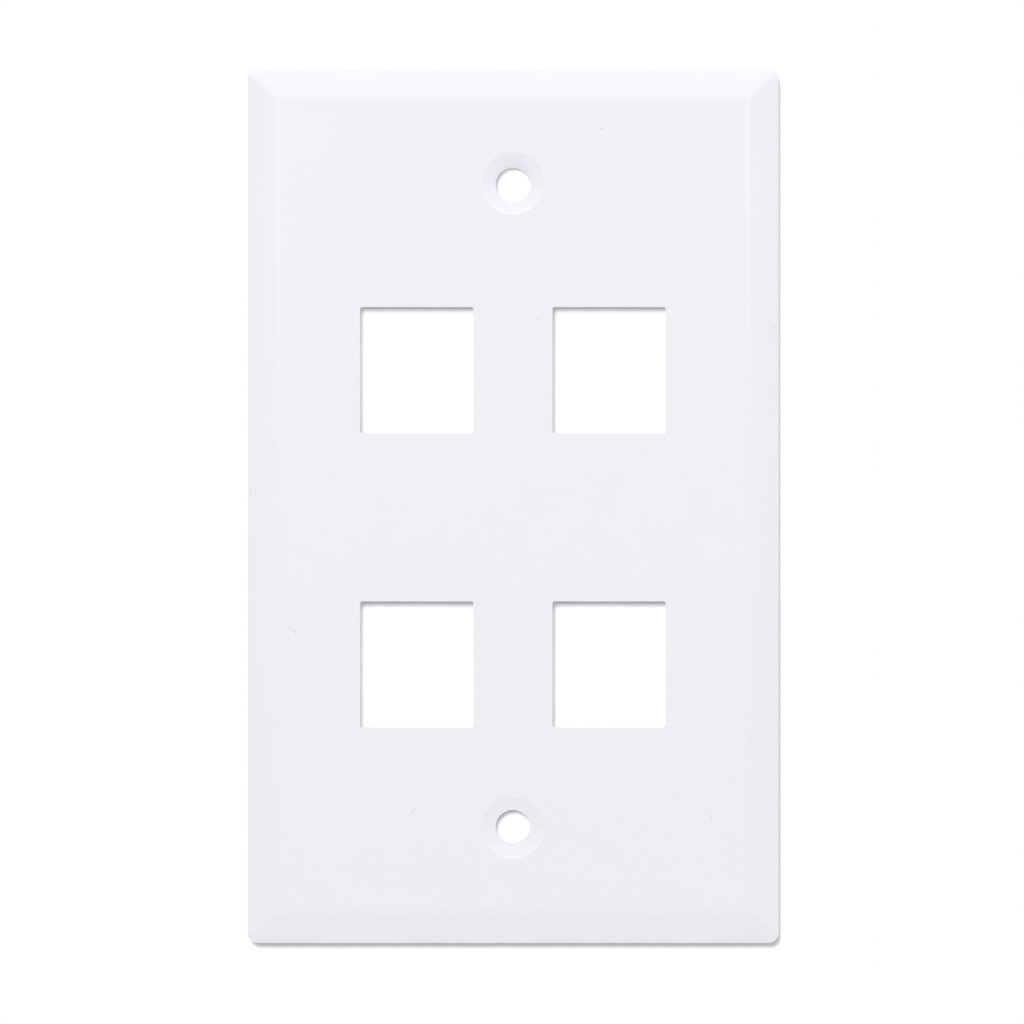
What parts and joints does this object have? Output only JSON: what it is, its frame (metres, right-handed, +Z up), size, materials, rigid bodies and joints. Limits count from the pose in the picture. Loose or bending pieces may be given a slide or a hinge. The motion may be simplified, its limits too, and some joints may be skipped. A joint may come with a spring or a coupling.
{
  "type": "keystone faceplate",
  "caption": "Flat wall plate with a bevelled edge, square snap-in ports in two rows and countersunk screw holes, moulded in one piece.",
  "frame": {"origin": "on the wall plane, midway between the two screw holes", "axes": "+X to the right seen from the front, +Z up, -Y out of the front face, so +Y goes into the wall"},
  "size_m": [0.069, 0.0097, 0.1134],
  "materials": {
    "white_plastic": "satin, fine moulded surface"
  },
  "bodies": {
    "root": {"faceplate": "white_plastic"}
  },
  "joints": []
}
